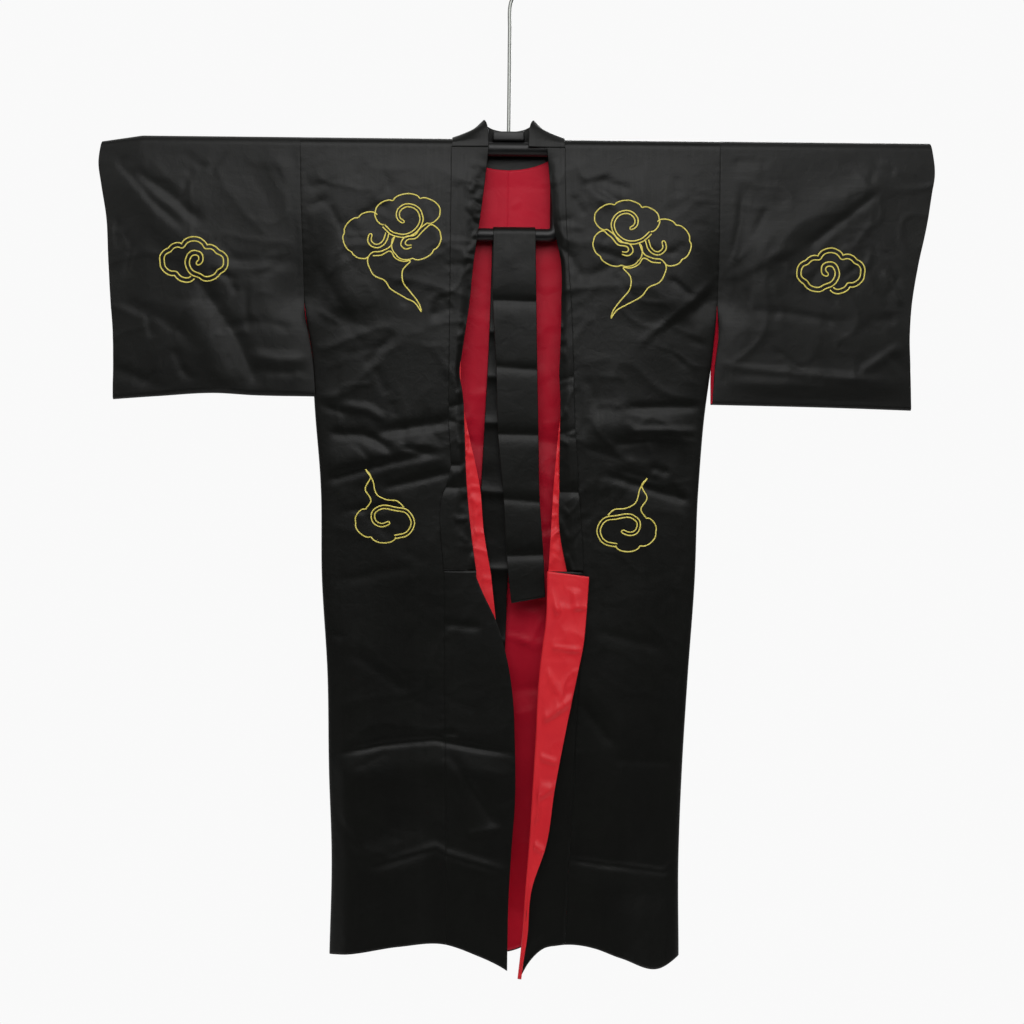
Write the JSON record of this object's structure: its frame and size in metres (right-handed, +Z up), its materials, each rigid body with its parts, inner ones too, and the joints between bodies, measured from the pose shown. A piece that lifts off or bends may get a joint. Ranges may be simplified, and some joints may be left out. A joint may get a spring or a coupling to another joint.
{
  "type": "embroidered satin robe on a hanger",
  "caption": "Long satin robe cut like a kimono, with cloud embroidery and a lining, spread on a straight pole hanger with its belt over the lower bar.",
  "frame": {"origin": "inner top of the hanger's hook, where it rests on a rail", "axes": "+Z up along the hook's stem, +X along the hanger's pole towards the robe's turned-out front, the open front faces -Y"},
  "size_m": [1.3623, 0.0839, 1.6461],
  "materials": {
    "black_satin": "warp-faced polyester satin with a soft grey sheen",
    "red_lining": "plain-woven polyester lining, slightly glossy",
    "gold_thread": "metallic embroidery thread, twisted",
    "black_plastic": "moulded, lightly polished",
    "steel_wire": "drawn and plated wire"
  },
  "bodies": {
    "root": {"front_left": "black_satin", "front_right": "black_satin", "back_left": "black_satin", "lining_back_left": "red_lining", "back_right": "black_satin", "lining_back_right": "red_lining", "collar_left": "black_satin", "collar_right": "black_satin", "collar_back": "black_satin", "facing_left": "red_lining", "facing_right": "red_lining", "overlap_left": "black_satin", "overlap_right": "black_satin", "lining_overlap_right": "red_lining", "sleeve_left_front": "black_satin", "lining_sleeve_left_front": "red_lining", "sleeve_left_back": "black_satin", "lining_sleeve_left_back": "red_lining", "sleeve_right_front": "black_satin", "lining_sleeve_right_front": "red_lining", "sleeve_right_back": "black_satin", "lining_sleeve_right_back": "red_lining", "belt_front": "black_satin", "belt_rear": "black_satin", "belt_over": "black_satin", "pole": "black_plastic", "hook_socket": "black_plastic", "hook": "steel_wire", "belt_bar": "black_plastic"}
  },
  "joints": []
}
